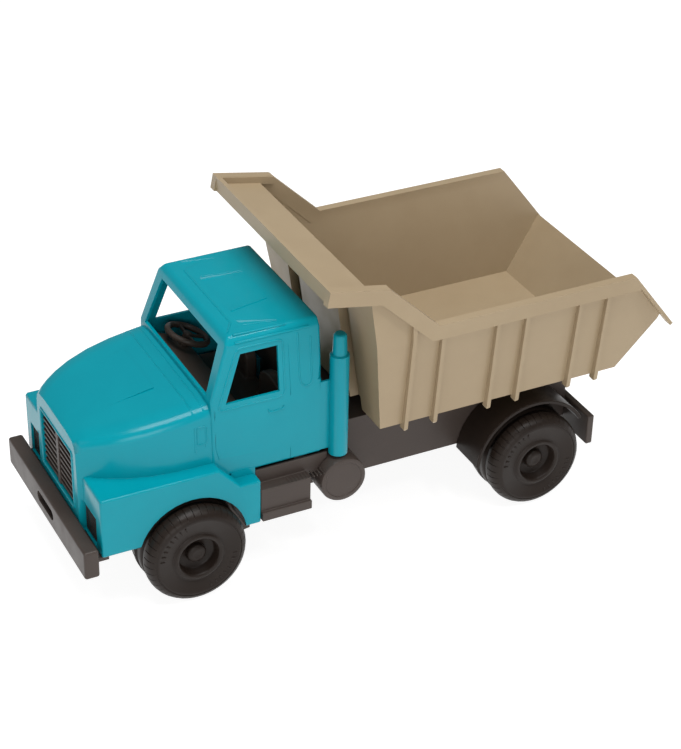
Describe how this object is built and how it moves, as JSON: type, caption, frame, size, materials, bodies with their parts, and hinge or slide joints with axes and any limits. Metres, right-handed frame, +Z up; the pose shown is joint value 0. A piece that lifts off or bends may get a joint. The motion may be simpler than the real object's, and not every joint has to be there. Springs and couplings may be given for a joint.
{
  "type": "toy dump truck",
  "caption": "Moulded toy dump truck with a cab and bonnet in one shell, rolling wheels on steel axles and a ribbed bed that tips on a rear hinge.",
  "frame": {"origin": "on the ground under the middle of the truck's bounding box", "axes": "+X forwards towards the bumper, +Y to the truck's left, +Z up"},
  "size_m": [0.53, 0.2246, 0.27],
  "materials": {
    "cab": "glossy teal moulding",
    "bed": "satin tan moulding",
    "trim": "warm dark grey moulding",
    "tyres": "brown-black hollow plastic wheel",
    "steel": "bright zinc-plated steel"
  },
  "bodies": {
    "chassis": {"axle_keeper_front": "trim", "axle_keeper_rear": "trim", "bed_hinge_pin": "steel", "cab_screw_front_left": "steel", "cab_screw_front_right": "steel", "cab_screw_rear_left": "steel", "cab_screw_rear_right": "steel", "cab_shell": "cab", "chassis_frame": "trim", "dashboard": "trim", "front_bumper": "trim", "fuel_tank_left": "trim", "fuel_tank_right": "trim", "grille": "trim", "headlight_left": "trim", "headlight_right": "trim", "keeper_screw_front_left": "steel", "keeper_screw_front_right": "steel", "keeper_screw_rear_left": "steel", "keeper_screw_rear_right": "steel", "mudguard_left": "trim", "mudguard_right": "trim", "rear_crossbar": "trim", "seat_bench": "trim", "steering_wheel": "trim", "step_left": "trim", "step_right": "trim", "wheel_arch_liner_left": "trim", "wheel_arch_liner_right": "trim"},
    "dump_bed": {"dump_body": "bed"},
    "front_wheels": {"front_axle": "steel", "wheel_front_left": "tyres", "wheel_front_right": "tyres", "hub_cap_front_left": "trim", "hub_cap_front_right": "trim"},
    "rear_wheels": {"rear_axle": "steel", "wheel_rear_left": "tyres", "wheel_rear_right": "tyres", "hub_cap_rear_left": "trim", "hub_cap_rear_right": "trim"}
  },
  "joints": [
    {"name": "dump_tip", "type": "hinge", "parent": "chassis", "child": "dump_bed", "pos_m": [-0.19, 0, 0.098], "axis": [0, -1, 0], "range_deg": [0, 50]},
    {"name": "front_wheels_roll", "type": "hinge", "parent": "chassis", "child": "front_wheels", "pos_m": [0.1704, 0, 0.0438], "axis": [0, 1, 0], "continuous": true},
    {"name": "rear_wheels_roll", "type": "hinge", "parent": "chassis", "child": "rear_wheels", "pos_m": [-0.1476, 0, 0.0438], "axis": [0, 1, 0], "continuous": true}
  ]
}
